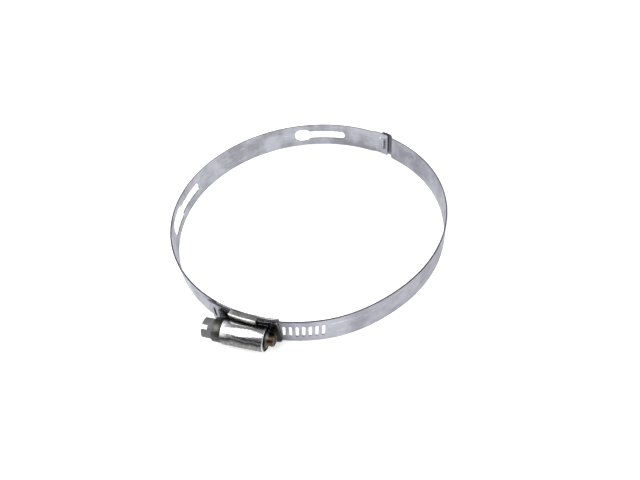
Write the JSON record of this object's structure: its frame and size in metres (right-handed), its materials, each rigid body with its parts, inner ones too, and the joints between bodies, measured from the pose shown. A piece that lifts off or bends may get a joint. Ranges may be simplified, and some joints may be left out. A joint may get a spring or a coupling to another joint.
{
  "type": "hose clamp",
  "caption": "Worm-drive hose clamp: a keyhole band and a slotted band hooked into one ring, drawn together by a slotted hex worm screw in a pressed housing.",
  "frame": {"origin": "centre of the hose bore, at the middle of the band's width", "axes": "+Z along the hose axis; the screw lies along X at the front (-Y) with its head to -X"},
  "size_m": [0.1282, 0.1384, 0.015],
  "materials": {
    "band_zinc": "bright zinc-plated strip, drawn along its length",
    "housing_zinc": "bright zinc-plated pressing",
    "saddle_zinc": "bright zinc-plated pressing",
    "screw_steel": "turned and headed steel, yellow passivated tip"
  },
  "bodies": {
    "screw_mount": {"housing": "housing_zinc", "saddle": "saddle_zinc"},
    "worm": {"worm_screw": "screw_steel"},
    "sliding_band": {"slotted_band": "band_zinc"},
    "anchored_band": {"keyhole_band": "band_zinc"}
  },
  "joints": [
    {"name": "screw_turn", "type": "hinge", "parent": "screw_mount", "child": "worm", "pos_m": [0, -0.069, 0], "axis": [1, 0, 0], "range_deg": [-1080, 1080]},
    {"name": "slotted_band_travel", "type": "hinge", "parent": "screw_mount", "child": "sliding_band", "pos_m": [0, 0, 0], "axis": [0, 0, -1], "range_deg": [-7, 7]},
    {"name": "keyhole_band_flex", "type": "hinge", "parent": "screw_mount", "child": "anchored_band", "pos_m": [-0.02035, -0.06047, 0], "axis": [0, 0, -1], "range_deg": [-3.6, 3.6]}
  ],
  "couplings": [
    {"joint": "slotted_band_travel", "follows": "screw_turn", "ratio": 0.0063858},
    {"joint": "keyhole_band_flex", "follows": "screw_turn", "ratio": 0.0031929}
  ]
}
